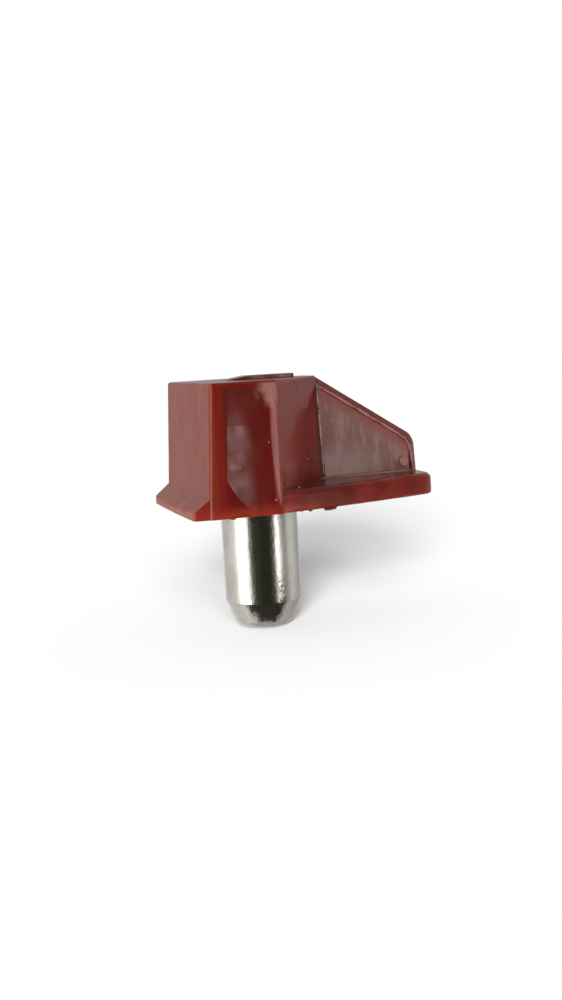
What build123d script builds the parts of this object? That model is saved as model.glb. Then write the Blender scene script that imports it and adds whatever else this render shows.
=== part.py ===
from build123d import *
import os
from math import cos, hypot, radians, sin, tan

# Shelf support pin: a moulded bracket on a plated steel pin, in millimetres.
# The pin's axis is Z. The bracket's flat seat lies on Z = 0 and the pin points down from it.
# X runs along the bracket, from the shelf face (-X) to the gusset's end (+X).
# Both sides of the plane Y = 0 are alike, apart from the ejector mark on the near side (-Y).

# Steel pin
pin_diameter = 5.0
pin_reach = 8.05
tip_cone_length = 1.35
tip_cone_diameter = 3.95
tip_round_height = 0.48
tip_flat_diameter = 2.4

# Root of the pin, slimmer than the shank, which the bracket is moulded around
root_step = 0.4
root_length = 5.4
root_chamfer = 0.4
groove_width = 0.9
groove_depth = 0.35
groove_height = 2.4
root_gap = 0.0

# Shallow ring that keeps the seat clear of the pin's shoulder
relief_width = 0.2
relief_depth = 0.1

# Tower, which carries the shelf
body_height = 8.1
shelf_face_distance = 4.78
shelf_face_lean = 3.4
shelf_face_stock = 0.8
widest_distance = 0.25
widest_width = 11.08
side_flare = 4.3
side_draft = 0.46
facet_end_distance = 4.24
facet_lean = 2.3
shelf_corner_radius = 0.3
widest_corner_radius = 0.15
top_edge_radius = 0.2

# Dished hollow in each side of the tower, deepest near the widest line
scoop_depth = 0.4
scoop_across_radius = 11.9
scoop_upright_radius = 36.0
scoop_centre_margin = 0.9
scoop_centre_height = 5.5
scoop_wall_slope = 50.0
scoop_side_margin = 0.12
scoop_far_margin = 1.03
scoop_bottom_margin = 0.42
scoop_top_margin = 0.36
scoop_corner_radius = 1.5
scoop_clearance = 0.3

# Gusset, the upright web behind the tower
gusset_thickness = 2.62
gusset_end_distance = 11.2
gusset_end_height = 3.66
gusset_end_lean = 3.6
gusset_corner_radius = 1.2
gusset_bevel = 0.42

# Sunk panel on each side of the gusset
panel_depth = 0.09
panel_border = 0.55
panel_margin = 0.12
panel_corner_radius = 0.6

# Seat plate under the tower and the gusset
plate_thickness = 1.38
plate_end_distance = 11.2
plate_end_width = 7.3
plate_side_bulge = 0.22
plate_end_bulge = 0.12
plate_corner_radius = 1.2
plate_top_radius = 0.42
plate_bottom_radius = 0.15
plate_overlap = 0.06

# Foot, the wedge along the base of the shelf face
foot_reach = 1.0
foot_height = 1.25
foot_land = 0.42
foot_bow = 0.08
foot_end_inset = 0.14
foot_tip_inset = 0.26
foot_corner_radius = 0.25
foot_edge_radius = 0.15

# Trimmed gate mark on the top of the tower
gate_start_distance = 2.0
gate_length = 4.7
gate_ramp_length = 1.6
gate_width = 1.6
gate_height = 0.24
gate_corner_radius = 0.25

# Ejector mark in the corner of the near panel
ejector_diameter = 0.75
ejector_height = 0.14
ejector_end_distance = 1.17
ejector_lift = 0.65
ejector_edge_radius = 0.06


def side_offset(height):
    """How far the draft has brought a side of the tower inwards at a height."""
    return height * tan(radians(side_draft))


def side_y(x, height):
    """Half the tower's width at a distance along X and a height: its sides flare to the widest line."""
    return widest_width / 2 - side_offset(height) + tan(radians(side_flare)) * (x + widest_distance)


def shelf_face_x(height):
    """Place of the leaning shelf face at a height."""
    return -shelf_face_distance + height * tan(radians(shelf_face_lean))


def shelf_plane():
    """Plane of the leaning shelf face, facing out."""
    lean = radians(shelf_face_lean)
    return Plane(origin=(-shelf_face_distance, 0, 0), z_dir=(-cos(lean), 0, sin(lean)))


def facet_end_x(height):
    """Place where the facets reach the gusset at a height."""
    return facet_end_distance - height * tan(radians(facet_lean))


def both_sides(tool):
    """A tool for the near side together with its mirror image for the far side."""
    return [tool, mirror(tool, about=Plane.XZ)]


def tower_plan(height):
    """Six-sided section of the tower at a height, before its shelf face is cut flat."""
    front_x = shelf_face_x(height) - shelf_face_stock
    half = [
        (front_x, side_y(front_x, height)),
        (-widest_distance, side_y(-widest_distance, height)),
        (facet_end_x(height), gusset_thickness / 2),
    ]
    other_half = [(x, -y) for x, y in reversed(half)]
    return Plane.XY.offset(height) * make_face(Polyline(*half, *other_half, close=True))


def corner_edges(solid, x):
    """The two edges that climb the solid nearest to a distance along X."""
    climbing = solid.edges().filter_by(lambda e: e.bounding_box().size.Z > body_height / 2)
    return climbing.sort_by(lambda e: abs(e.center().X - x))[:2]


def tower():
    """Drafted tower with a flat shelf face, its corners rounded and its top edge softened."""
    solid = loft([tower_plan(0), tower_plan(body_height)], ruled=True)
    solid = split(solid, bisect_by=shelf_plane(), keep=Keep.BOTTOM)
    solid = fillet(corner_edges(solid, shelf_face_x(body_height / 2)), shelf_corner_radius)
    solid = fillet(corner_edges(solid, -widest_distance), widest_corner_radius)
    top = solid.faces().sort_by(Axis.Z)[-1]
    rim = top.edges().sort_by(Axis.X)[:-1]
    return fillet(rim, top_edge_radius)


def side_plane():
    """Plane of the tower's near side. Its X runs to the widest line and its Z faces out."""
    along = Vector(1, 0, 0).rotate(Axis.Z, -side_flare)
    up = Vector(0, tan(radians(side_draft)), 1)
    corner = (-widest_distance, -side_y(-widest_distance, 0), 0)
    return Plane(origin=corner, x_dir=along, z_dir=along.cross(up))


def scoop_far_x(height):
    """Where the hollow ends beside the shelf face, measured along the side plane."""
    corner = (shelf_face_x(height) + widest_distance) / cos(radians(side_flare))
    return corner + scoop_far_margin


def scoop_outline(extra):
    """Outline of the hollow on the side plane, longer by extra towards the shelf face."""
    top = body_height - scoop_top_margin
    near_top = (-scoop_side_margin, top)
    points = [
        (scoop_far_x(scoop_bottom_margin) - extra, scoop_bottom_margin),
        (-scoop_side_margin, scoop_bottom_margin),
        near_top,
        (scoop_far_x(top) - extra, top),
    ]
    face = make_face(Polyline(*points, close=True))
    return fillet(face.vertices().sort_by_distance(near_top)[0], scoop_corner_radius)


def scoop():
    """Tool for the near side's hollow: a dish cut by a fat ring. All its walls slope but one."""
    deep = 2 * scoop_depth
    slopes = extrude(scoop_outline(deep), -deep, taper=90 - scoop_wall_slope)
    walls = slopes & extrude(scoop_outline(0), -deep)
    walls += extrude(scoop_outline(0), scoop_clearance)
    ring = Torus(scoop_upright_radius - scoop_across_radius, scoop_across_radius)
    centre = Pos(-scoop_centre_margin, scoop_centre_height, scoop_upright_radius - scoop_depth)
    return side_plane() * (walls & centre * Rot(Y=90) * ring)


def gusset_corner_x():
    """Place of the gusset's corner, where the leaning end meets the sloping edge."""
    return gusset_end_distance - gusset_end_height * tan(radians(gusset_end_lean))


def gusset_slope():
    """Fall of the gusset's sloping edge for each millimetre along X."""
    return (body_height - gusset_end_height) / (gusset_corner_x() - facet_end_x(body_height))


def gusset():
    """Upright web with a sloping edge, bevelled along the sloping edge and the end."""
    corner_x = gusset_corner_x()
    outline = Polyline(
        (-widest_distance, 0),
        (gusset_end_distance, 0),
        (corner_x, gusset_end_height),
        (facet_end_x(body_height), body_height),
        (-widest_distance, body_height / 2),
        close=True,
    )
    solid = extrude(Plane.XZ * make_face(outline), gusset_thickness / 2, both=True)
    corner = solid.edges().filter_by(Axis.Y).sort_by_distance((corner_x, 0, gusset_end_height))[0]
    solid = fillet(corner, gusset_corner_radius)
    rim = solid.edges().filter_by(Axis.Y, reverse=True)
    rim = rim.filter_by(lambda e: e.center().X > facet_end_x(body_height))
    rim = rim.filter_by(lambda e: e.center().Z > plate_thickness / 2)
    return chamfer(rim, gusset_bevel) - both_sides(panel())


def panel():
    """Tool for the near side's sunk panel, inside the gusset's border."""
    slope = gusset_slope()
    drop = panel_border * hypot(1, slope)
    low = plate_thickness / 2
    end_x = gusset_corner_x() - panel_border
    top_x = facet_end_x(body_height) + panel_margin

    def inner_edge(x):
        return body_height - (x - facet_end_x(body_height)) * slope - drop

    end_low_x = end_x + (gusset_end_height - low) * tan(radians(gusset_end_lean))
    outline = Polyline(
        (facet_end_x(low) + panel_margin, low),
        (end_low_x, low),
        (end_x, inner_edge(end_x)),
        (top_x, inner_edge(top_x)),
        close=True,
    )
    face = make_face(outline)
    corner = face.vertices().sort_by_distance((end_x, inner_edge(end_x)))[0]
    face = fillet(corner, panel_corner_radius)
    return extrude(Plane.XZ.offset(gusset_thickness / 2 - panel_depth) * face, gusset_thickness)


def seat_plate():
    """Plate that spreads from under the tower and narrows towards the gusset's end."""
    root = (-widest_distance + plate_overlap, widest_width / 2 - plate_overlap)
    corner = (plate_end_distance - plate_end_bulge, plate_end_width / 2)
    far_root = (root[0], -root[1])
    far_corner = (corner[0], -corner[1])
    outline = [
        SagittaArc(root, corner, plate_side_bulge),
        SagittaArc(corner, far_corner, plate_end_bulge),
        SagittaArc(far_corner, far_root, plate_side_bulge),
        Line(far_root, root),
    ]
    solid = extrude(make_face(outline), plate_thickness)
    corners = solid.edges().filter_by(Axis.Z).sort_by(Axis.X)[-2:]
    solid = fillet(corners, plate_corner_radius)
    top_rim = solid.faces().sort_by(Axis.Z)[-1].edges().sort_by(Axis.X)[1:]
    solid = fillet(top_rim, plate_top_radius)
    bottom_rim = solid.faces().sort_by(Axis.Z)[0].edges().sort_by(Axis.X)[1:]
    return fillet(bottom_rim, plate_bottom_radius)


def foot():
    """Wedge along the base of the shelf face, with a bowed tip and slightly drawn-in ends."""
    tip_x = -shelf_face_distance - foot_reach
    face_x = shelf_face_x(foot_height)
    rise = (foot_height - foot_land) / (face_x - tip_x)
    inside_x = face_x + foot_reach / 2
    profile = make_face(
        Polyline(
            (tip_x, 0),
            (tip_x, foot_land),
            (inside_x, foot_land + rise * (inside_x - tip_x)),
            (inside_x, 0),
            close=True,
        )
    )
    profile = fillet(profile.vertices().sort_by_distance((tip_x, foot_land))[0], foot_edge_radius)
    wedge = extrude(Plane.XZ * profile, widest_width, both=True)

    end_y = side_y(-shelf_face_distance, 0)
    root_y = end_y - foot_end_inset
    tip_y = end_y - foot_tip_inset
    plan = make_face(
        [
            Line((inside_x, root_y), (face_x, root_y)),
            Line((face_x, root_y), (tip_x + foot_bow, tip_y)),
            SagittaArc((tip_x + foot_bow, tip_y), (tip_x + foot_bow, -tip_y), -foot_bow),
            Line((tip_x + foot_bow, -tip_y), (face_x, -root_y)),
            Line((face_x, -root_y), (inside_x, -root_y)),
            Line((inside_x, -root_y), (inside_x, root_y)),
        ]
    )
    plan = fillet(plan.vertices().sort_by(Axis.X)[:2], foot_corner_radius)
    return wedge & extrude(plan, body_height)


def gate_mark():
    """Low stub left on the top where the moulding was cut from its runner."""
    start_x = -gate_start_distance
    end_x = start_x + gate_length
    ramp = make_face(
        Polyline(
            (start_x, body_height - gate_height),
            (end_x, body_height - gate_height),
            (end_x, body_height + gate_height),
            (start_x + gate_ramp_length, body_height + gate_height),
            (start_x, body_height),
            close=True,
        )
    )
    solid = extrude(Plane.XZ * ramp, gate_width / 2, both=True)
    ends = solid.edges().filter_by(Axis.Z).sort_by(Axis.X)[-2:]
    return fillet(ends, gate_corner_radius)


def ejector_mark():
    """Small round boss that the ejector left in the near panel, rooted a panel's depth below it."""
    centre = (gusset_end_distance - ejector_end_distance, plate_thickness + ejector_lift)
    floor = Plane.XZ.offset(gusset_thickness / 2 - 2 * panel_depth)
    disc = Pos(*centre) * Circle(ejector_diameter / 2)
    boss = extrude(floor * disc, panel_depth + ejector_height)
    return fillet(boss.edges().sort_by(Axis.Y)[:1], ejector_edge_radius)


def root_profile(gap):
    """Half section of the pin's root above the seat, grown by a gap."""
    radius = pin_diameter / 2 - root_step + gap
    top = root_length + gap
    neck = radius - groove_depth
    return [
        (0, 0),
        (radius, 0),
        (radius, groove_height - gap),
        (neck, groove_height + groove_depth),
        (neck, groove_height + groove_width - groove_depth),
        (radius, groove_height + groove_width + gap),
        (radius, top - root_chamfer),
        (radius - root_chamfer, top),
        (0, top),
    ]


def root_socket():
    """Hollow in the bracket around the pin's root, with the relief ring at the seat."""
    centre, mouth, *rest = root_profile(root_gap)
    ring_radius = pin_diameter / 2 + relief_width
    ring = [(ring_radius, 0), (ring_radius, relief_depth), (mouth[0], relief_depth)]
    return revolve(Plane.XZ * make_face(Polyline(centre, *ring, *rest, close=True)), Axis.Z)


def steel_pin():
    """Turned pin: rounded end, coned lead-in, shank, shoulder at the seat and grooved root."""
    radius = pin_diameter / 2
    flat = (tip_flat_diameter / 2, -pin_reach)
    cone_end = (tip_cone_diameter / 2, -pin_reach + tip_round_height)
    cone_start = (radius, -pin_reach + tip_round_height + tip_cone_length)
    rounding = TangentArc(flat, cone_end, tangent=(1, 0))
    sides = Polyline(cone_end, cone_start, (radius, 0), *root_profile(0)[1:], (0, -pin_reach), flat)
    return revolve(Plane.XZ * make_face([rounding, sides]), Axis.Z)


def bracket():
    """The whole moulding, with its socket for the pin."""
    body = tower() + gusset() + seat_plate() + foot()
    body -= both_sides(scoop())
    body += [gate_mark(), ejector_mark()]
    return body - root_socket()


def write_parts():
    """One file for each piece."""
    os.makedirs("parts", exist_ok=True)
    for name, piece in (("moulded_bracket", bracket()), ("steel_pin", steel_pin())):
        piece.label = name
        export_step(piece, f"parts/{name}.step")


write_parts()
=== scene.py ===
# %% [markdown]
# # A shelf support pin: moulded bracket on a plated steel pin
#
# This little fitting is 17 mm long. A dark red plastic bracket is moulded around one end of a bright steel pin. The
# solids come from the CAD model, true to size, and nothing here moves or reshapes them. This notebook gives them what
# the CAD leaves out: the finish of the plastic and of the plating, and the crumbs of flash, the bead along the gusset
# and the specks that the mould and the cutter leave behind.

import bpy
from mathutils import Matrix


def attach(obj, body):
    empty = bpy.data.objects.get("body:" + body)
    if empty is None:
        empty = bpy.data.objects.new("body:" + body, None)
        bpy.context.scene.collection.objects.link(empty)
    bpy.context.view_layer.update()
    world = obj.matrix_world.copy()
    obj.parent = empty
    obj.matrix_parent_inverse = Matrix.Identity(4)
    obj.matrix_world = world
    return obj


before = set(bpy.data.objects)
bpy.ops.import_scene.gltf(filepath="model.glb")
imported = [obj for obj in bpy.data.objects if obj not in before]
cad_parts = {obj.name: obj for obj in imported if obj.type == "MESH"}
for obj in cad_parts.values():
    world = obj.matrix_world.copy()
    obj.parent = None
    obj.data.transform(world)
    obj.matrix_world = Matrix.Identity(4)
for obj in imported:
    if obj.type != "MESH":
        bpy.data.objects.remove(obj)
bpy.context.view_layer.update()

import bpy
import numpy as np
from mathutils import Matrix, Vector
from mathutils.bvhtree import BVHTree

MM = 0.001

# %% [markdown]
# ## The camera
#
# The picture was taken from very near, about 70 mm, so the near edges look much larger than the far ones. A long lens
# from further off would flatten the bracket. The camera is given by its place and by three angles: how far it stands
# round the object, how far above the horizon it is, and how much it is tilted about its own line of sight.

# %% Turn angles into directions
def direction(round_degrees, above_degrees):
    """The way from the object to what stands round it. Angles start at -Y, go towards +X, and rise from the horizon."""
    a, e = np.radians([round_degrees, above_degrees])
    return Vector((np.sin(a) * np.cos(e), -np.cos(a) * np.cos(e), np.sin(e)))


def camera_turn(back, tilt_degrees):
    """Rotation of a camera that looks back at the object from a direction, tilted about its line of sight."""
    t = np.radians(tilt_degrees)
    level = Vector((0, 0, 1)).cross(back).normalized()
    upright = back.cross(level)
    right = np.cos(t) * level + np.sin(t) * upright
    up = np.cos(t) * upright - np.sin(t) * level
    return Matrix((right, up, back)).transposed().to_4x4()


for degrees in (0, 90):
    print(degrees, "degrees round is the direction", [round(v, 3) for v in direction(degrees, 0)])

# %% Place the camera
CAMERA_PLACE = Vector((-21.578, -64.902, 9.625)) * MM
CAMERA_ROUND = -19.642
CAMERA_ABOVE = 7.910
CAMERA_TILT = -3.094
LENS_LENGTH = 37.93
SENSOR_WIDTH = 36.0

lens = bpy.data.cameras.new("close_up_lens")
lens.sensor_width = SENSOR_WIDTH
lens.lens = LENS_LENGTH
lens.clip_start = 1 * MM
lens.clip_end = 5.0
camera = bpy.data.objects.new("close_up_camera", lens)
turned = camera_turn(direction(CAMERA_ROUND, CAMERA_ABOVE), CAMERA_TILT)
camera.matrix_world = Matrix.Translation(CAMERA_PLACE) @ turned
bpy.context.scene.collection.objects.link(camera)
bpy.context.scene.camera = camera
bpy.context.scene.view_settings.view_transform = "Standard"
print("camera is", round(CAMERA_PLACE.length / MM, 1), "mm from the middle of the seat")

# %% [markdown]
# ## Small helpers for node trees
#
# A material is a little graph of nodes. Making each node in one line keeps the recipes below short enough to read: the
# call names the kind of node, sets its properties, and fills its inputs with numbers or with links.

# %% Make a node and fill its inputs
def fill(tree, node, inputs):
    """Gives a node's inputs plain values or the outputs of other nodes."""
    for key, value in dict(inputs).items():
        if isinstance(value, bpy.types.NodeSocket):
            tree.links.new(value, node.inputs[key])
        else:
            node.inputs[key].default_value = value


def add_node(tree, kind, inputs=(), **settings):
    """A node of a kind, with its settings and its inputs."""
    node = tree.nodes.new(kind)
    for name, value in settings.items():
        setattr(node, name, value)
    fill(tree, node, inputs)
    return node


def new_material(name):
    """A material, its tree and its main shader."""
    material = bpy.data.materials.new(name)
    material.use_nodes = True
    return material, material.node_tree, material.node_tree.nodes["Principled BSDF"]


print("helpers:", ", ".join(helper.__name__ for helper in (fill, add_node, new_material)))

# %% [markdown]
# Most of what a material has to say is arithmetic: multiply two masks, measure how far off a corner is, carry a number
# from one range into another. Each of these is a node too, and each gets its own short call.

# %% Do sums with nodes
def calc(tree, operation, a, b=0.0, c=0.0, clamp=False):
    """The result of a Math node."""
    node = add_node(tree, "ShaderNodeMath", {0: a, 1: b, 2: c}, operation=operation, use_clamp=clamp)
    return node.outputs[0]


def product(tree, *values):
    """All the values multiplied together."""
    result, *others = values
    for value in others:
        result = calc(tree, "MULTIPLY", result, value)
    return result


def ramp(tree, value, low, high, start=0.0, end=1.0):
    """A value carried smoothly from one range into another."""
    inputs = {"Value": value, "From Min": low, "From Max": high, "To Min": start, "To Max": end}
    return add_node(tree, "ShaderNodeMapRange", inputs, interpolation_type="SMOOTHSTEP").outputs[0]


def distance(tree, place, target):
    """How far a place is from a target."""
    return add_node(tree, "ShaderNodeVectorMath", {0: place, 1: target}, operation="DISTANCE").outputs["Value"]


def blend_colours(tree, share, first, second):
    """A colour between two colours."""
    return add_node(tree, "ShaderNodeMix", {0: share, 6: first, 7: second}, data_type="RGBA").outputs[2]


print("helpers:", ", ".join(helper.__name__ for helper in (calc, product, ramp, distance, blend_colours)))

# %% [markdown]
# An image could be wrapped around the part, but it would have seams, and a pattern computed from the place on the
# object has none. So every pattern starts from the object's own coordinates, in millimetres: a noise of scale 1 has
# clouds about 1 mm wide.

# %% Read a material's place on the object and cloud it
def place_in_mm(tree):
    """Object coordinates in millimetres, so that every pattern's size below is a real size."""
    coordinates = add_node(tree, "ShaderNodeTexCoord").outputs["Object"]
    return add_node(tree, "ShaderNodeMapping", {"Vector": coordinates, "Scale": (1000, 1000, 1000)}).outputs[0]


def noise(tree, place, stretch=(1, 1, 1), scale=1.0, detail=3.0, roughness=0.5, shift=(0, 0, 0)):
    """Cloudy noise between 0 and 1, stretched along the axes."""
    moved = add_node(tree, "ShaderNodeMapping", {"Vector": place, "Scale": stretch, "Location": shift})
    inputs = {"Vector": moved.outputs[0], "Scale": scale, "Detail": detail, "Roughness": roughness}
    return add_node(tree, "ShaderNodeTexNoise", inputs).outputs["Fac"]


def bump(tree, height_in_mm):
    """The normal of a surface that is raised by a height."""
    return add_node(tree, "ShaderNodeBump", {"Strength": 1.0, "Distance": MM, "Height": height_in_mm}).outputs[0]


print("helpers:", ", ".join(helper.__name__ for helper in (place_in_mm, noise, bump)))

# %% [markdown]
# ## The moulded plastic
#
# The bracket is a glossy, slightly cloudy plastic in a dark brick red. Three things make it look moulded and not
# painted. The colour drifts a little with the flow of the melt, and it glows more orange along the seat, where light
# gets into the thin edge; that glow is painted into the colour. The gloss isn't even either: the tower's sides copy a
# polished mould, but the gusset's sunk panel copies a spark-eroded one, which is dull and blotchy. Lastly the faces
# aren't quite flat, because plastic sinks as it cools, and that bends the reflections. Besides these, the colour
# carries painted shade, painted highlights and painted sheen on a few faces.
#
# All of this depends on which face a point is on. The CAD model has one mesh for the whole bracket, so the material
# works the face out from a few measures of the point, such as how far it is from the middle plane.

# %% Measure where a point is on the bracket
GUSSET_TOP_X = 3.915
GUSSET_TOP_Z = 8.1
GUSSET_SLOPE = 0.6294
RUBBED_CORNER = (-0.45, 0, 7.55)
EJECTOR_MARK = (10.03, -1.36, 2.03)


def bracket_measures(tree, place):
    """Numbers in millimetres that say where a point of the bracket is."""
    x, y, z = add_node(tree, "ShaderNodeSeparateXYZ", {0: place}).outputs
    below_top = calc(tree, "SUBTRACT", GUSSET_TOP_Z + GUSSET_TOP_X * GUSSET_SLOPE, z)
    in_middle_plane = add_node(tree, "ShaderNodeCombineXYZ", {0: x, 1: 0.0, 2: z}).outputs[0]
    return {
        "x": x,
        "z": z,
        "from_middle": calc(tree, "ABSOLUTE", y),
        "below_slope": calc(tree, "SUBTRACT", below_top, calc(tree, "MULTIPLY", x, GUSSET_SLOPE)),
        "from_rubbed_corner": distance(tree, in_middle_plane, RUBBED_CORNER),
        "from_ejector_mark": distance(tree, place, EJECTOR_MARK),
    }


plastic, plastic_tree, plastic_shader = new_material("moulded_brick_red_plastic")
plastic_place = place_in_mm(plastic_tree)
measures = bracket_measures(plastic_tree, plastic_place)
print("measures:", ", ".join(measures))

# %% [markdown]
# A mask is a number from 0 to 1: 1 on the face it is named after, 0 elsewhere, and in between at its soft edge. Each
# row below is one mask, as a list of conditions that must all hold. A condition names a measure, then the value at
# which it is 0 and the value at which it is 1. Where two more numbers follow, it runs between these instead of 0 and 1.
# A condition with no numbers is a mask from further up.

# %% Masks that pick out the bracket's faces
MASKS = {
    "side": [("from_middle", 4.4, 4.9), ("z", 8.04, 7.9)],
    "hollow": [("side",), ("x", -3.80, -3.40), ("x", -0.25, -0.65), ("z", 0.35, 0.85), ("z", 7.95, 7.45)],
    "ridge": [("side",), ("x", -0.70, -0.54), ("x", -0.12, -0.28), ("z", 0.5, 1.0)],
    "rubbed": [("side",), ("x", -0.15, -0.35), ("from_rubbed_corner", 1.3, 0.5)],
    "above_plate": [("z", 1.42, 1.50)],
    "facet_foot": [("above_plate",), ("x", -0.20, 0.50), ("x", 1.75, 1.05), ("z", 1.0, 2.0), ("z", 3.5, 2.5)],
    "facet_corner_shade": [("above_plate",), ("x", 3.56, 3.80), ("x", 4.17, 3.93), ("from_middle", 1.80, 1.60), ("z", 8.0, 7.8)],
    "gusset_side": [("above_plate",), ("x", 3.8, 4.0), ("x", 10.52, 10.42), ("from_middle", 1.27, 1.24)],
    "panel": [("gusset_side",), ("below_slope", 0.60, 0.70)],
    "under_edge": [("panel",), ("below_slope", 2.6, 0.7)],
    "panel_corner_light": [("panel",), ("x", 10.0, 4.5), ("z", 4.0, 1.6)],
    "boss": [("from_ejector_mark", 0.46, 0.25)],
    "shelf": [("x", -4.03, -4.28)],
    "foot_end": [("from_middle", 4.85, 5.00), ("x", -4.70, -4.85), ("z", 1.3, 0.9)],
    "in_plate": [("z", 1.42, 1.34)],
    "plate": [("in_plate",), ("x", 0.3, 0.8)],
    "plate_start": [("in_plate",), ("x", -0.4, 1.6), ("x", 6.0, 4.0)],
    "plate_top": [("z", 1.30, 1.36), ("z", 1.48, 1.42), ("x", 3.25, 4.25), ("x", 11.1, 10.1)],
    "plate_dust": [("plate_top",), ("from_middle", 2.3, 1.2, 0.0, 0.8)],
    "glow": [("z", 0.95, 0.0), ("x", 1.0, 3.0, 1.0, 0.35)],
}

masks = {}
for mask_name, conditions in MASKS.items():
    parts = [
        ramp(plastic_tree, measures[subject], *limits) if limits else masks[subject] for subject, *limits in conditions
    ]
    masks[mask_name] = product(plastic_tree, *parts)
print("masks:", ", ".join(masks))

# %% [markdown]
# The colour is built like paint: a base of brick red that drifts with the flow, then one coat after another, each
# where its mask allows and as strong as its share. A share can be a plain number, or a noise that makes the coat
# patchy. The panel's pale runs of painted sheen and the pink smear under its sloping edge come from the same noise, so
# that they interlock. Several coats are painted light and shade, and each says so where it is laid on.

# %% The colours of the plastic
# Several of these colours are painted light and shade, not colours of the plastic: the shelf's sheen, the shade in the
# hollow, at the plate's start and in the facet's corner, the highlights on the widest line, the facet's foot and the
# ejector mark, the panel's sheen and its paler lower corner, and the glow at the seat and at the foot's end.
DEEP_RED = (0.145, 0.0075, 0.0035, 1)
BRICK_RED = (0.198, 0.0140, 0.0070, 1)
SHELF_BRICK_AND_SHEEN = (0.216, 0.0265, 0.0085, 1)
PAINTED_SHADE_RED = (0.105, 0.0060, 0.0030, 1)
THIN_EDGE_PAINTED_GLOW = (0.245, 0.0160, 0.0150, 1)
PAINTED_HIGHLIGHT_PINK = (0.250, 0.0600, 0.0470, 1)
PAINTED_CORNER_SHADE = (0.062, 0.0200, 0.0120, 1)
RUBBED_PALE = (0.330, 0.1300, 0.1050, 1)
MAUVE_PAINTED_SHEEN = (0.262, 0.1220, 0.1090, 1)
PALE_PAINTED_SHEEN = (0.430, 0.2980, 0.2720, 1)
SMEARED_PINK = (0.300, 0.0560, 0.0430, 1)
CORNER_PAINTED_LIGHT = (0.500, 0.3460, 0.3120, 1)
PLATE_DUST = (0.440, 0.3000, 0.2050, 1)
BOSS_PAINTED_HIGHLIGHT = (0.420, 0.1900, 0.1600, 1)
SEAT_PAINTED_GLOW = (0.340, 0.0380, 0.0160, 1)


def plastic_colour(tree, place, masks):
    """Brick red that drifts with the flow and pales where it is rubbed, with painted sheen on the panel, a painted glow
    near the seat and painted shade and highlights on a few faces.
    """
    flow = noise(tree, place, stretch=(0.9, 0.9, 0.16), scale=0.8, detail=4.0)
    scuffs = noise(tree, place, stretch=(1, 1, 0.7), scale=1.3, detail=5.0, shift=(8, 3, 1))
    runs = noise(tree, place, stretch=(1.6, 1, 0.4), scale=0.9, detail=4.0, roughness=0.6, shift=(4, 0, 2))
    clouds = noise(tree, place, scale=0.9, detail=2.5, shift=(3, 1, 7))
    pale_sheen_runs = ramp(tree, runs, 0.48, 0.60, 0.0, 0.4)
    ragged_edge = calc(tree, "MULTIPLY_ADD", calc(tree, "SUBTRACT", runs, 0.5), 2.2, masks["under_edge"])
    patchy = ramp(tree, clouds, 0.35, 0.65, 0.7, 1.0)
    coats = [
        # painted sheen: the shelf face is made warmer and brighter than the rest of the plastic
        ("shelf", 0.8, SHELF_BRICK_AND_SHEEN),
        # painted shade: the dished hollow is darkened
        ("hollow", 0.65, PAINTED_SHADE_RED),
        # painted glow: the foot's thin end is a brighter red, as if lit through
        ("foot_end", 0.9, THIN_EDGE_PAINTED_GLOW),
        # painted highlight along the tower's widest line
        ("ridge", 0.75, PAINTED_HIGHLIGHT_PINK),
        # painted shade in the upright corner between the facet and the gusset
        ("facet_corner_shade", 0.8, PAINTED_CORNER_SHADE),
        ("rubbed", ramp(tree, scuffs, 0.30, 0.62), RUBBED_PALE),
        # painted sheen: the dull panel is painted mauve, with paler runs, for the grey that its matt face reflects
        ("panel", 0.85, MAUVE_PAINTED_SHEEN),
        ("panel", pale_sheen_runs, PALE_PAINTED_SHEEN),
        ("under_edge", ramp(tree, ragged_edge, 0.45, 1.05, 0.0, 0.75), SMEARED_PINK),
        # painted light: the panel's lower corner is made paler against the shade of the corner
        ("panel_corner_light", patchy, CORNER_PAINTED_LIGHT),
        ("plate_dust", patchy, PLATE_DUST),
        # painted shade: the plate's start beside the tower is darkened
        ("plate_start", 0.8, PAINTED_SHADE_RED),
        # painted light: the facet's foot is made pinker against its dark reflection of the plate
        ("facet_foot", 0.6, PAINTED_HIGHLIGHT_PINK),
        # painted highlight on the ejector mark
        ("boss", 1.0, BOSS_PAINTED_HIGHLIGHT),
        # painted glow: a warmer orange along the seat
        ("glow", ramp(tree, clouds, 0.3, 0.7, 0.35, 0.9), SEAT_PAINTED_GLOW),
    ]
    body = blend_colours(tree, ramp(tree, flow, 0.35, 0.65), DEEP_RED, BRICK_RED)
    for mask_name, share, colour in coats:
        body = blend_colours(tree, calc(tree, "MULTIPLY", masks[mask_name], share), body, colour)
    print("coats of colour:", len(coats))
    return body


fill(plastic_tree, plastic_shader, {"Base Color": plastic_colour(plastic_tree, plastic_place, masks)})

# %% [markdown]
# Gloss and unevenness come from the same masks. The depths are real ones, in millimetres: the sink marks are long and
# shallow and only bend the reflections, while the panel's blotches are what makes it look eroded.

# %% The gloss and the unevenness of the plastic
SINK_DEPTH = 0.06
GRAIN_DEPTH = 0.0014
BLOTCH_DEPTH = 0.055
PLASTIC_IOR = 1.49


def plastic_roughness(tree, place, masks):
    """Glossy sides, and a dull panel and rubbed corner, all a little patchy."""
    patches = noise(tree, place, scale=1.4, detail=4.0, shift=(5, 2, 0))
    glossy = ramp(tree, patches, 0.3, 0.7, 0.13, 0.21)
    dull = ramp(tree, patches, 0.35, 0.65, 0.32, 0.46)
    dulled = calc(tree, "MAXIMUM", masks["panel"], masks["rubbed"])
    return calc(tree, "MULTIPLY_ADD", calc(tree, "SUBTRACT", dull, glossy), dulled, glossy)


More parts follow.
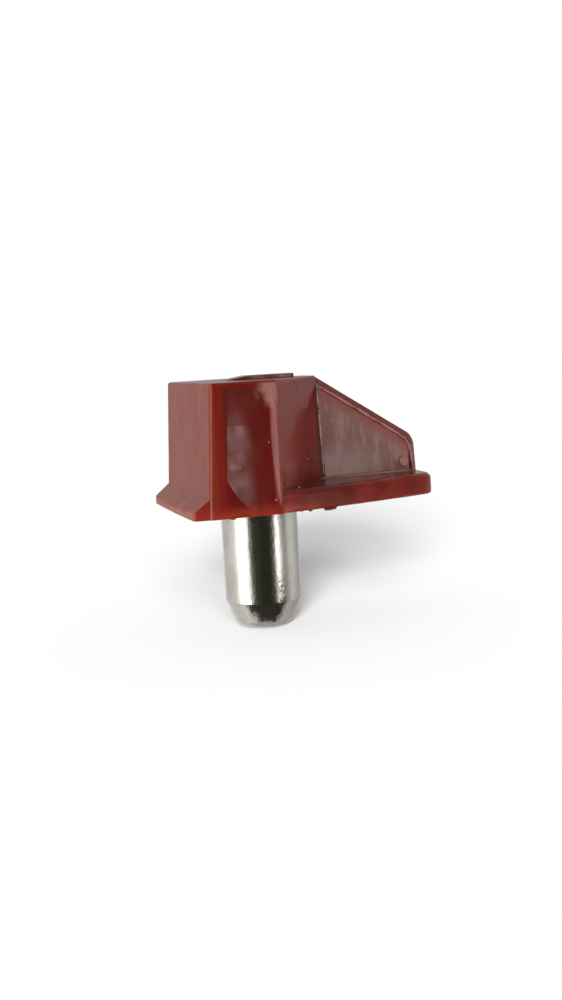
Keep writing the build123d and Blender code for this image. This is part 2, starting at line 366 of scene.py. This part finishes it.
def plastic_height(tree, place, masks):
    """Sink marks, the grain of the plate and the eroded texture of the panel."""
    sinks = noise(tree, place, scale=0.45, detail=1.0, shift=(1, 4, 2))
    grain = noise(tree, place, scale=7.0, detail=2.0)
    blotches = noise(tree, place, scale=1.5, detail=3.0, shift=(2, 0, 5))
    height = calc(tree, "MULTIPLY", sinks, SINK_DEPTH)
    height = calc(tree, "MULTIPLY_ADD", calc(tree, "MULTIPLY", grain, masks["plate"]), GRAIN_DEPTH, height)
    return calc(tree, "MULTIPLY_ADD", calc(tree, "MULTIPLY", blotches, masks["panel"]), BLOTCH_DEPTH, height)


plastic_surface = {
    "Roughness": plastic_roughness(plastic_tree, plastic_place, masks),
    "Normal": bump(plastic_tree, plastic_height(plastic_tree, plastic_place, masks)),
    "IOR": PLASTIC_IOR,
    "Subsurface Weight": 0.08,
    "Subsurface Radius": (1.0, 0.2, 0.1),
    "Subsurface Scale": 0.8 * MM,
}
fill(plastic_tree, plastic_shader, plastic_surface)
print("plastic has", len(plastic_tree.nodes), "nodes")

# %% [markdown]
# ## The plated steel
#
# The pin is turned from bar and then plated with nickel, which is bright but a little warm. A perfect mirror would look
# like a computer picture, so three faint marks break it up: rings from the turning tool, scuffs along the pin from
# going in and out of holes, and a soft pitting that makes the edges of a dark reflection ragged. The cone at the tip
# bulges by a hair where the tool rounded it, which spreads its reflections.

# %% Build the plating
NICKEL = (0.66, 0.645, 0.605, 1)
WORN_NICKEL = (0.56, 0.545, 0.505, 1)
RING_DEPTH = 0.0008
SCUFF_DEPTH = 0.0016
PIT_DEPTHS = (0.009, 0.017)
PITS_DEEPEN = (-3.5, -6.5)
CONE_MIDDLE = -6.95
CONE_HALF_HEIGHT = 0.73
CONE_ROUNDING = 0.085


def plating_height(tree, z, pits, rings, scuffs):
    """Pits that deepen towards the tip, turning rings, scuffs and a cone that bulges a little."""
    from_cone = calc(tree, "SUBTRACT", z, CONE_MIDDLE)
    bulge = calc(tree, "SUBTRACT", CONE_HALF_HEIGHT ** 2, calc(tree, "MULTIPLY", from_cone, from_cone))
    bulge = calc(tree, "MAXIMUM", calc(tree, "MULTIPLY", bulge, CONE_ROUNDING), 0.0)
    height = calc(tree, "MULTIPLY_ADD", pits, ramp(tree, z, *PITS_DEEPEN, *PIT_DEPTHS), bulge)
    height = calc(tree, "MULTIPLY_ADD", rings, RING_DEPTH, height)
    return calc(tree, "MULTIPLY_ADD", scuffs, SCUFF_DEPTH, height)


def make_plated_steel():
    """Bright nickel plating."""
    material, tree, shader = new_material("bright_nickel_plating")
    place = place_in_mm(tree)
    z = add_node(tree, "ShaderNodeSeparateXYZ", {0: place}).outputs[2]
    clouds = noise(tree, place, scale=0.7, detail=4.0)
    pits = noise(tree, place, stretch=(1, 1, 0.5), scale=4.5, detail=4.0, roughness=0.6, shift=(1, 0, 3))
    rings = noise(tree, place, stretch=(0.1, 0.1, 9), scale=2.0, detail=2.0)
    scuffs = noise(tree, place, stretch=(5, 5, 0.5), scale=1.6, detail=3.0, shift=(0, 2, 0))
    scuffed = ramp(tree, scuffs, 0.35, 0.75, 0.05, 0.12)
    surface = {
        "Base Color": blend_colours(tree, ramp(tree, clouds, 0.4, 0.7), NICKEL, WORN_NICKEL),
        "Roughness": calc(tree, "ADD", scuffed, ramp(tree, pits, 0.5, 0.8, 0.0, 0.08)),
        "Normal": bump(tree, plating_height(tree, z, pits, rings, scuffs)),
        "Metallic": 1.0,
    }
    fill(tree, shader, surface)
    return material


plating = make_plated_steel()
print("plating has", len(plating.node_tree.nodes), "nodes")

# %% Put the finishes on the CAD pieces
for node_name, finish in (("moulded_bracket", plastic), ("steel_pin", plating)):
    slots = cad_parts[node_name].data.materials
    slots.clear()
    slots.append(finish)
    print(node_name, "is finished in", finish.name)

# %% [markdown]
# ## Geometry Nodes: two small trees
#
# The mould leaves traces that no solid of the CAD shows: a rolled bead along the gusset's bevel, rags of flash under
# the plate, and crumbs on the faces. They could be drawn as bumps in the material, but they stand out of the surface
# and catch the light on their own, so they are geometry. Drawing each by hand would be slow, and the next one would
# look the same. A Geometry Nodes tree states the rule once, and each use gives it other sizes and another seed.

# %% Start and end a tree
def new_tree(name, inputs):
    """An empty Geometry Nodes tree with its named inputs, their kinds and their usual values."""
    tree = bpy.data.node_groups.new(name, "GeometryNodeTree")
    tree.interface.new_socket("Geometry", in_out="INPUT", socket_type="NodeSocketGeometry")
    for title, kind, usual in inputs:
        socket = tree.interface.new_socket(title, in_out="INPUT", socket_type="NodeSocket" + kind)
        if usual is not None:
            socket.default_value = usual
    tree.interface.new_socket("Geometry", in_out="OUTPUT", socket_type="NodeSocketGeometry")
    return tree, tree.nodes.new("NodeGroupInput").outputs


def finish_tree(tree, geometry, material):
    """Ends a tree with real geometry in its material."""
    real = add_node(tree, "GeometryNodeRealizeInstances", {"Geometry": geometry})
    painted = add_node(tree, "GeometryNodeSetMaterial", {"Geometry": real.outputs[0], "Material": material})
    add_node(tree, "NodeGroupOutput", {"Geometry": painted.outputs[0]})
    print(tree.name, "has", len(tree.nodes), "nodes")


def seeded_noise(tree, place, seed, per_metre, detail):
    """The outputs of a noise that a seed changes."""
    inputs = {"Vector": place, "W": seed, "Scale": per_metre, "Detail": detail}
    return add_node(tree, "ShaderNodeTexNoise", inputs, noise_dimensions="4D").outputs


def scaled(tree, vector, factor):
    """A vector made longer or shorter."""
    return add_node(tree, "ShaderNodeVectorMath", {0: vector, "Scale": factor}, operation="SCALE").outputs[0]


print("helpers:", ", ".join(helper.__name__ for helper in (new_tree, finish_tree, seeded_noise, scaled)))

# %% [markdown]
# The first tree turns a path into an uneven bead: it divides the path into short steps, moves each step a little to
# the side, gives each its own thickness, and runs a circle along them. The ends taper off.

# %% The tree for an uneven bead
SWAYS_PER_METRE = 1400.0
LUMPS_PER_METRE = 2600.0
TAPERED_SHARE = 0.12


def bead_tree():
    """Turns a path of edges into a rolled bead of uneven thickness."""
    inputs = [("Radius", "Float", 0.0), ("Wander", "Float", 0.0), ("Step", "Float", 0.0), ("Seed", "Float", 0.0)]
    inputs += [("Lumpiness", "Float", 1.0), ("Material", "Material", None)]
    tree, given = new_tree("uneven_bead", inputs)
    path = add_node(tree, "GeometryNodeMeshToCurve", {"Mesh": given["Geometry"]}).outputs[0]
    steps = add_node(tree, "GeometryNodeResampleCurve", {"Curve": path, "Length": given["Step"]}, mode="LENGTH")
    place = add_node(tree, "GeometryNodeInputPosition").outputs[0]
    sway = seeded_noise(tree, place, given["Seed"], SWAYS_PER_METRE, 2.0)["Color"]
    sway = add_node(tree, "ShaderNodeVectorMath", {0: sway, 1: (0.5, 0.5, 0.5)}, operation="SUBTRACT").outputs[0]
    moved = {"Geometry": steps.outputs[0], "Offset": scaled(tree, sway, given["Wander"])}
    moved = add_node(tree, "GeometryNodeSetPosition", moved).outputs[0]
    lumps = seeded_noise(tree, place, calc(tree, "ADD", given["Seed"], 5.0), LUMPS_PER_METRE, 3.0)["Fac"]
    lumps = calc(tree, "MULTIPLY_ADD", calc(tree, "SUBTRACT", lumps, 0.5), given["Lumpiness"], 1.0)
    along = add_node(tree, "GeometryNodeSplineParameter").outputs["Factor"]
    from_end = calc(tree, "MINIMUM", along, calc(tree, "SUBTRACT", 1.0, along))
    thickness = product(tree, lumps, ramp(tree, from_end, 0.0, TAPERED_SHARE, 0.1, 1.0), given["Radius"])
    circle = add_node(tree, "GeometryNodeCurvePrimitiveCircle", {"Resolution": 8, "Radius": 1.0}).outputs[0]
    tube = {"Curve": moved, "Profile Curve": circle, "Scale": thickness, "Fill Caps": True}
    finish_tree(tree, add_node(tree, "GeometryNodeCurveToMesh", tube).outputs[0], given["Material"])
    return tree


uneven_bead = bead_tree()

# %% [markdown]
# The second tree puts a crumb on each point it is given: a small ball with its own size, stretch and turn, whose skin
# is then pushed about by noise so that no two look alike.

# %% The tree for crumbs
DENTS_PER_METRE = 9000.0
FULL_TURN = 6.28


def crumb_tree():
    """Puts an uneven crumb on every point."""
    inputs = [("Smallest", "Vector", (0, 0, 0)), ("Largest", "Vector", (0, 0, 0)), ("Unevenness", "Float", 0.0)]
    tree, given = new_tree("crumbs", inputs + [("Seed", "Int", 0), ("Material", "Material", None)])
    ball = add_node(tree, "GeometryNodeMeshIcoSphere", {"Radius": 1.0, "Subdivisions": 2}).outputs[0]
    sizes = {0: given["Smallest"], 1: given["Largest"], "Seed": given["Seed"]}
    sizes = add_node(tree, "FunctionNodeRandomValue", sizes, data_type="FLOAT_VECTOR")
    turns = {1: (FULL_TURN, FULL_TURN, FULL_TURN), "Seed": calc(tree, "ADD", given["Seed"], 3)}
    turns = add_node(tree, "FunctionNodeRandomValue", turns, data_type="FLOAT_VECTOR")
    on_points = {"Points": given["Geometry"], "Instance": ball, "Rotation": turns.outputs[0], "Scale": sizes.outputs[0]}
    balls = add_node(tree, "GeometryNodeInstanceOnPoints", on_points).outputs[0]
    skin = add_node(tree, "GeometryNodeRealizeInstances", {"Geometry": balls}).outputs[0]
    place = add_node(tree, "GeometryNodeInputPosition").outputs[0]
    push = seeded_noise(tree, place, given["Seed"], DENTS_PER_METRE, 1.0)["Fac"]
    push = calc(tree, "MULTIPLY", calc(tree, "SUBTRACT", push, 0.5), given["Unevenness"])
    outwards = add_node(tree, "GeometryNodeInputNormal").outputs[0]
    dented = {"Geometry": skin, "Offset": scaled(tree, outwards, push)}
    finish_tree(tree, add_node(tree, "GeometryNodeSetPosition", dented).outputs[0], given["Material"])
    return tree


crumbs = crumb_tree()

# %% [markdown]
# A tree is used through a modifier. Its inputs are set by the sockets' identifiers before anything is computed, and
# the result is then kept as a plain mesh: the modifier and its host are thrown away.

# %% Run a tree on some points and keep the mesh
def grow(name, points, edges, tree, values):
    """The piece that a tree makes from points and edges, as a plain mesh that rides on the bracket's body."""
    host_mesh = bpy.data.meshes.new(name + "_host")
    host_mesh.from_pydata(points, edges, [])
    host = bpy.data.objects.new(name + "_host", host_mesh)
    bpy.context.scene.collection.objects.link(host)
    modifier = host.modifiers.new("grow", "NODES")
    modifier.node_group = tree
    for item in tree.interface.items_tree:
        if item.in_out == "INPUT" and item.name in values:
            modifier[item.identifier] = values[item.name]
    host.update_tag()
    evaluated = host.evaluated_get(bpy.context.evaluated_depsgraph_get())
    mesh = bpy.data.meshes.new_from_object(evaluated)
    mesh.name = name
    host.modifiers.clear()
    bpy.data.objects.remove(host)
    bpy.data.meshes.remove(host_mesh)
    for face in mesh.polygons:
        face.use_smooth = True
    piece = bpy.data.objects.new(name, mesh)
    bpy.context.scene.collection.objects.link(piece)
    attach(piece, "root")
    print(name, "has", len(mesh.polygons), "faces")


def lay_bead(name, path, values):
    """A bead along a path of places in millimetres."""
    points = [tuple(v * MM for v in place) for place in path]
    grow(name, points, [(i, i + 1) for i in range(len(points) - 1)], uneven_bead, values)


print("helpers:", ", ".join(helper.__name__ for helper in (grow, lay_bead)))

# %% [markdown]
# ## The bead along the gusset's bevel
#
# Where the bevel meets the gusset's side, the real bracket has a thin, rolled and slightly broken line that catches
# the light. It goes down the sloping edge, round the corner and down the end. A second, finer one stands in the upright
# corner between the facet and the gusset. The numbers of the gusset are those of the CAD model.

# %% Where the beads run
GUSSET_HALF_THICKNESS = 1.31
GUSSET_CORNER_X = 10.97
GUSSET_BEVEL = 0.42
BEAD_SHIFT = 0.06
PLATE_TOP = 1.38
END_LEAN = 0.0629


def bevel_edge_z(x):
    """Height of the bevel's inner edge at a distance along X."""
    drop = (GUSSET_BEVEL + BEAD_SHIFT) * np.hypot(1, GUSSET_SLOPE)
    return GUSSET_TOP_Z - (x - GUSSET_TOP_X) * GUSSET_SLOPE - drop


corner_x = GUSSET_CORNER_X - GUSSET_BEVEL
bevel_path = [(x, bevel_edge_z(x)) for x in np.linspace(4.02, corner_x - 0.75, 5)]
bevel_path += [
    (corner_x - 0.38, bevel_edge_z(corner_x - 0.38) - 0.06),
    (corner_x - 0.08, bevel_edge_z(corner_x) - 0.25),
    (corner_x + 0.01, 2.6),
    (corner_x + END_LEAN * 2, PLATE_TOP + 0.02),
]
corner_path = [(GUSSET_TOP_X + 0.06, 7.3), (4.10, 4.4), (4.19, PLATE_TOP + 0.05)]
print("the bevel's bead starts at", [round(float(v), 2) for v in bevel_path[0]], "mm in X and Z")

# %% [markdown]
# The beads and crumbs are the same plastic, painted paler. On the beads and the burrs the pale colour is a painted
# highlight: it stands for the bright lines and glints along the bevel, in the upright corner and on the plate's edge.
# Patches of brick red break them up, as if parts of them had worn away.

# %% The paler plastic of beads and crumbs
PALE_BEAD_HIGHLIGHT = (0.450, 0.2050, 0.1700, 1)
PALE_CRUMB_AND_HIGHLIGHT = (0.500, 0.3200, 0.2900, 1)
PALE_GRAIN_DEPTH = 0.004


def make_pale_plastic(name, colour, roughness):
    """The paler plastic of beads and crumbs, whose pale colour on the beads and burrs is a painted highlight."""
    material, tree, shader = new_material(name)
    place = place_in_mm(tree)
    patches = ramp(tree, noise(tree, place, scale=1.6, detail=3.0), 0.34, 0.52)
    grain = noise(tree, place, scale=12.0, detail=2.0)
    surface = {
        "Base Color": blend_colours(tree, patches, BRICK_RED, colour),
        "Normal": bump(tree, calc(tree, "MULTIPLY", grain, PALE_GRAIN_DEPTH)),
        "Roughness": roughness,
        "IOR": PLASTIC_IOR,
    }
    fill(tree, shader, surface)
    return material


bead_highlight_plastic = make_pale_plastic("pale_bead_highlight_plastic", PALE_BEAD_HIGHLIGHT, 0.30)
crumb_and_highlight_plastic = make_pale_plastic("pale_crumb_and_highlight_plastic", PALE_CRUMB_AND_HIGHLIGHT, 0.5)
print("pale plastics:", bead_highlight_plastic.name, crumb_and_highlight_plastic.name)

# %% Lay the beads on both sides
BEVEL_BEAD_Y = GUSSET_HALF_THICKNESS - 0.005
CORNER_BEAD_Y = GUSSET_HALF_THICKNESS - 0.01

# The beads' pale colour is a painted highlight along the bevel and in the upright corner.
bead = {"Radius": 0.072 * MM, "Wander": 0.12 * MM, "Step": 0.09 * MM, "Lumpiness": 2.2, "Material": bead_highlight_plastic}
fine_bead = {**bead, "Radius": 0.060 * MM, "Wander": 0.04 * MM, "Material": crumb_and_highlight_plastic}
for side, where in ((-1, "near"), (1, "far")):
    path = [(x, side * BEVEL_BEAD_Y, z) for x, z in bevel_path]
    lay_bead("bevel_bead_" + where, path, {**bead, "Seed": 2.0 + side})
    path = [(x, side * CORNER_BEAD_Y, z) for x, z in corner_path]
    lay_bead("corner_bead_" + where, path, {**fine_bead, "Seed": 7.0 + side})

# %% [markdown]
# ## Flash under the plate
#
# Molten plastic creeps between the halves of the mould and leaves thin rags there. The near edge of the seat has one
# that hangs a little below it, and two shorter ones. The same bead tree makes them, on short paths.

# %% Hang the rags of flash
FLASH_RAGS = {
    "flash_rag_long": (0.10, [(2.55, -5.07, -0.03), (2.85, -5.03, -0.07), (3.20, -4.99, -0.06), (3.50, -4.94, -0.02)]),
    "flash_rag_short": (0.05, [(1.45, -5.24, 0.0), (1.62, -5.21, -0.03), (1.78, -5.19, 0.0)]),
    "flash_rag_tower": (0.05, [(-3.60, -5.27, 0.0), (-3.42, -5.29, -0.03), (-3.20, -5.30, 0.0)]),
}
rag = {"Wander": 0.03 * MM, "Step": 0.06 * MM, "Seed": 11.0, "Lumpiness": 0.6, "Material": plastic}
for rag_name, (radius, path) in FLASH_RAGS.items():
    lay_bead(rag_name, path, {**rag, "Radius": radius * MM})

# %% [markdown]
# ## Crumbs and burrs
#
# A few pale specks sit on the bracket. Their places are read off the picture, in pixels, and each is carried along the
# camera's line of sight until it meets the bracket, so that it lies on the face it belongs to, seen from any side. The
# far side gets some of its own.

# %% Carry a place in the picture onto the bracket
PICTURE_SIZE = (562, 1000)
PIXELS_PER_UNIT = lens.lens / lens.sensor_width * max(PICTURE_SIZE)
WELL_BEHIND = 20

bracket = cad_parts["moulded_bracket"].data
bracket_points = [vertex.co.copy() for vertex in bracket.vertices]
bracket_faces = BVHTree.FromPolygons(bracket_points, [tuple(face.vertices) for face in bracket.polygons])


def seen_at(column, row):
    """The point of the bracket that the camera sees at a pixel."""
    across = (column - PICTURE_SIZE[0] / 2) / PIXELS_PER_UNIT
    down = (row - PICTURE_SIZE[1] / 2) / PIXELS_PER_UNIT
    ray = camera.matrix_world.to_3x3() @ Vector((across, -down, -1))
    return bracket_faces.ray_cast(camera.matrix_world.translation, ray.normalized())[0]


def met_from_behind(x, z):
    """The point of the bracket's far side at a distance along X and a height, in millimetres."""
    return bracket_faces.ray_cast(Vector((x, WELL_BEHIND, z)) * MM, Vector((0, -1, 0)))[0]


print("at pixel 299, 488 lies the point", [round(v / MM, 2) for v in seen_at(299, 488)], "mm")

# %% Scatter the crumbs
SPECK_PIXELS = [(269, 442), (309, 443), (308, 459), (240, 468), (327, 467), (362, 452), (268, 380)]
BURR_PIXELS = [(401.5, 462), (284.8, 484), (299, 488), (276, 500), (302, 511)]
FAR_SPECKS = [(-2.2, 3.1), (1.2, 5.9), (2.1, 1.9), (6.3, 4.0), (8.4, 2.2), (4.4, 0.8)]

speck_places = [seen_at(*pixel) for pixel in SPECK_PIXELS] + [met_from_behind(*spot) for spot in FAR_SPECKS]
burr_places = [seen_at(*pixel) for pixel in BURR_PIXELS]
speck = {"Smallest": [0.020 * MM] * 3, "Largest": [0.055 * MM] * 3, "Unevenness": 0.03 * MM, "Seed": 4}
burr = {
    "Smallest": [0.07 * MM, 0.03 * MM, 0.05 * MM],
    "Largest": [0.13 * MM, 0.07 * MM, 0.10 * MM],
    "Unevenness": 0.06 * MM,
    "Seed": 9,
}
grow("specks", [p for p in speck_places if p is not None], [], crumbs, {**speck, "Material": crumb_and_highlight_plastic})
# The burrs' pale colour is partly a painted glint.
grow("burrs", [p for p in burr_places if p is not None], [], crumbs, {**burr, "Material": bead_highlight_plastic})
print("places:", len(speck_places), "for specks and", len(burr_places), "for burrs")

# %% [markdown]
# ## The studio
#
# A shiny object shows the room that it stands in, so most of the work of lighting metal is choosing what it reflects.
# Here the room is white, and rings of wall stand round the object, one above the other. Each ring has its own
# list of brightnesses on the way round: black on the camera's side, a broad bright window on the left, a narrow bright
# one on the right, and greys behind. On the round pin they become upright stripes, and on the flat faces of the
# plastic they become sheen. One ring would do for the pin alone, but the dished hollow and the bevel look higher up.
#
# The walls are seen only in reflections. The plain light for the colours comes from the room itself and from one soft
# lamp on the left, at a level at which each colour comes out about as it is written.

# %% The white room
ROOM_LIGHT = 0.55


def light_path_is_direct(tree):
    """1 for what the camera, a reflection or a clear material sees, and 0 for what only lights a surface."""
    rays = add_node(tree, "ShaderNodeLightPath").outputs
    seen = calc(tree, "ADD", rays["Is Camera Ray"], rays["Is Glossy Ray"])
    return calc(tree, "ADD", seen, rays["Is Transmission Ray"], clamp=True)


world = bpy.data.worlds.new("white_room")
world.use_nodes = True
bpy.context.scene.world = world
room = world.node_tree
room_strength = calc(room, "MULTIPLY_ADD", light_path_is_direct(room), 1 - ROOM_LIGHT, ROOM_LIGHT)
fill(room, room.nodes["Background"], {"Color": (1, 1, 1, 1), "Strength": room_strength})
print("the room looks like strength 1 and lights like", ROOM_LIGHT)

# %% [markdown]
# A ring is a list of pairs: a direction, in degrees round the object from the camera's side towards the gusset, and a
# brightness. Between two pairs the brightness runs evenly from one to the other. The rings for the bracket share one
# list, and `capped` darkens a part of it where a face would otherwise shine too much.

# %% The brightnesses on the way round
level_ring = [
    (-180, 0.43), (-115, 0.43), (-109, 0.85), (-95, 0.85), (-91, 2.1), (-58, 2.1), (-54, 0.025), (13, 0.025),
    (16, 0.2), (18, 0.7), (20, 3.2), (22, 4.8), (26, 4.5), (29, 1.9), (33, 0.6), (37, 0.26), (62, 0.26), (67, 0.5),
    (148, 0.5), (153, 0.43), (180, 0.43),
]
pin_ring = [
    (-180, 0.80), (-155, 0.66), (-137, 0.74), (-113, 0.88), (-101, 1.1), (-91, 2.3), (-63, 2.3), (-58, 1.4),
    (-52, 0.45), (-46, 0.14), (-38, 0.06), (-15, 0.03), (6, 0.03), (15, 0.10), (21, 0.28), (25, 0.75), (28, 2.4),
    (35, 2.4), (40, 1.15), (46, 0.66), (52, 0.44), (58, 0.38), (66, 0.52), (75, 0.72), (90, 0.70), (105, 0.56),
    (118, 0.44), (130, 0.46), (155, 0.62), (180, 0.80),
]
wide_dark = [
    (-180, 0.80), (-137, 0.74), (-95, 0.90), (-82, 0.70), (-74, 0.12), (-66, 0.04), (48, 0.04), (56, 0.10),
    (66, 0.52), (100, 0.48), (130, 0.42), (155, 0.62), (180, 0.80),
]
narrow_dark = [
    (-180, 0.80), (-137, 0.74), (-95, 0.85), (-60, 0.60), (-50, 0.12), (-42, 0.04), (40, 0.04), (48, 0.12),
    (58, 0.55), (100, 0.50), (130, 0.42), (155, 0.62), (180, 0.80),
]
print("brightest window:", max(level for _, level in level_ring))

# %% The rings from the bottom to the top: where each starts and ends above the horizon, in degrees
def even(level):
    """The same brightness all the way round."""
    return [(-180, level), (180, level)]


def capped(levels, start, end, highest):
    """The same brightnesses, but none above a limit between two directions."""
    return [(turn, min(level, highest) if start < turn < end else level) for turn, level in levels]


RINGS = {
    "under_all": (-90, -66, even(0.46)),
    "cone_foot_ring": (-66, -54, narrow_dark),
    "cone_ring": (-54, -28, wide_dark),
    "taper_ring": (-28, -14.4, capped(pin_ring, 10, 54, 0.08)),
    "pin_ring": (-14.4, -8.4, pin_ring),
    "dim_ring": (-8.4, 0.7, capped(capped(level_ring, 30, 64, 0.16), 0, 31, 0.08)),
    "level_ring": (0.7, 4.5, level_ring),
    "upper_ring": (4.5, 8, capped(level_ring, 0, 90, 0.10)),
    "high_ring": (8, 62, capped(capped(level_ring, -180, 0, 1.9), 0, 180, 0.5)),
    "over_all": (62, 90, even(0.24)),
}
print("rings:", len(RINGS))

# %% [markdown]
# A ring's paint turns the direction of a point into a place on a colour ramp, and the ramp's stops are the pairs of
# its list. A ramp's colours end at 1, so the brightnesses are divided by the largest and multiplied back in the
# strength of the glow.

# %% Paint a ring with its brightnesses
BRIGHTEST = 5.0
WALL_WARMTH = (1.0, 0.985, 0.955)
DARK_WARMTH = (1.0, 0.97, 0.72)
DARK_LEVEL = 0.15


def ring_glow(name, levels):
    """A glowing paint whose strength depends on the direction from the object."""
    material, tree, _ = new_material(name)
    tree.nodes.clear()
    place = add_node(tree, "ShaderNodeTexCoord").outputs["Object"]
    x, y, _ = add_node(tree, "ShaderNodeSeparateXYZ", {0: place}).outputs
    turn = calc(tree, "ARCTAN2", x, calc(tree, "MULTIPLY", y, -1.0))
    turn = calc(tree, "MULTIPLY_ADD", turn, 0.5 / np.pi, 0.5)
    stops = add_node(tree, "ShaderNodeValToRGB", {"Fac": turn})
    elements = stops.color_ramp.elements
    elements.remove(elements[1])
    for index, (degrees, level) in enumerate(levels):
        stop = elements.new(degrees / 360 + 0.5) if index else elements[0]
        stop.position = degrees / 360 + 0.5
        warmth = WALL_WARMTH if level > DARK_LEVEL else DARK_WARMTH
        stop.color = [level / BRIGHTEST * share for share in warmth] + [1]
    glow = add_node(tree, "ShaderNodeEmission", {"Color": stops.outputs["Color"], "Strength": BRIGHTEST})
    add_node(tree, "ShaderNodeOutputMaterial", {"Surface": glow.outputs[0]})
    return material


print("walls glow with up to", BRIGHTEST)

# %% Bend the rings round the object
WALL_DISTANCE = 140 * MM
RING_COLUMNS = 72
DEGREES_PER_ROW = 6


def add_ring(name, low, high, levels):
    """A ring of wall, cut from a ball round the object and seen only in reflections."""
    rows = max(2, round((high - low) / DEGREES_PER_ROW) + 1)
    turns = np.linspace(-180, 180, RING_COLUMNS, endpoint=False)
    points = [direction(turn, above) * WALL_DISTANCE for above in np.linspace(low, high, rows) for turn in turns]
    faces = []
    for start in range(0, (rows - 1) * RING_COLUMNS, RING_COLUMNS):
        above = start + RING_COLUMNS
        for column in range(RING_COLUMNS):
            after = (column + 1) % RING_COLUMNS
            faces.append((start + column, start + after, above + after, above + column))
    mesh = bpy.data.meshes.new(name)
    mesh.from_pydata(points, [], faces)
    mesh.materials.append(ring_glow(name, levels))
    ring = bpy.data.objects.new(name, mesh)
    bpy.context.scene.collection.objects.link(ring)
    ring.visible_camera = False
    ring.visible_diffuse = False
    ring.visible_shadow = False


for ring_name, (low, high, levels) in RINGS.items():
    add_ring(ring_name, low, high, levels)
print("rings:", ", ".join(RINGS))

# %% A lamp that looks at the object from a direction
def add_lamp(name, round_degrees, above_degrees, softness, strength):
    """A soft lamp far away. Its softness is how many degrees wide it looks from the object."""
    light = bpy.data.lights.new(name, "SUN")
    light.angle = np.radians(softness)
    light.energy = strength
    lamp = bpy.data.objects.new(name, light)
    lamp.matrix_world = direction(round_degrees, above_degrees).to_track_quat("Z", "Y").to_matrix().to_4x4()
    bpy.context.scene.collection.objects.link(lamp)
    lamp.visible_glossy = False
    print(name, "has strength", strength)
    return lamp


side_lamp = add_lamp("side_lamp", -72, 22, 60, 1.9)

# %% [markdown]
# ## The floor
#
# The floor is a sheet of white paper just under the pin's tip. It has two lamps of its own, beside the camera, which
# light nothing else. That way its shadow is as deep as it is in the picture and falls behind the bracket, without
# bleaching the plastic. The low lamp makes the far part of the shadow and the higher one the part beside the pin. The
# side lamp leaves the floor out. The metal must see the walls below the horizon as well, so the floor is hidden from
# reflections.

# %% The floor and its paper
FLOOR_HEIGHT = -8.06
FLOOR_WIDTH = 6000
PAPER_WHITE = (0.70, 0.70, 0.705, 1)

floor_mesh = bpy.data.meshes.new("pale_floor")
half = FLOOR_WIDTH * MM / 2
floor_mesh.from_pydata([(-half, -half, 0), (half, -half, 0), (half, half, 0), (-half, half, 0)], [], [(0, 1, 2, 3)])
floor_mesh.transform(Matrix.Translation((0, 0, FLOOR_HEIGHT * MM)))
floor = bpy.data.objects.new("pale_floor", floor_mesh)
floor.visible_glossy = False

paper, paper_tree, _ = new_material("white_paper")
paper_tree.nodes.clear()
matt = add_node(paper_tree, "ShaderNodeBsdfDiffuse", {"Color": PAPER_WHITE})
add_node(paper_tree, "ShaderNodeOutputMaterial", {"Surface": matt.outputs[0]})
floor_mesh.materials.append(paper)
print("floor lies at", FLOOR_HEIGHT, "mm")

# %% The floor's own lamps
floor_collection = bpy.data.collections.new("floor_only")
bpy.context.scene.collection.children.link(floor_collection)
floor_collection.objects.link(floor)
low_floor_lamp = add_lamp("low_floor_lamp", -27, 17, 18, 6.0)
high_floor_lamp = add_lamp("high_floor_lamp", -18, 30, 28, 2.2)
for lamp in (low_floor_lamp, high_floor_lamp):
    lamp.light_linking.receiver_collection = floor_collection

all_but_floor = bpy.data.collections.new("all_but_floor")
all_but_floor.objects.link(floor)
side_lamp.light_linking.receiver_collection = all_but_floor
all_but_floor.collection_objects[0].light_linking.link_state = "EXCLUDE"
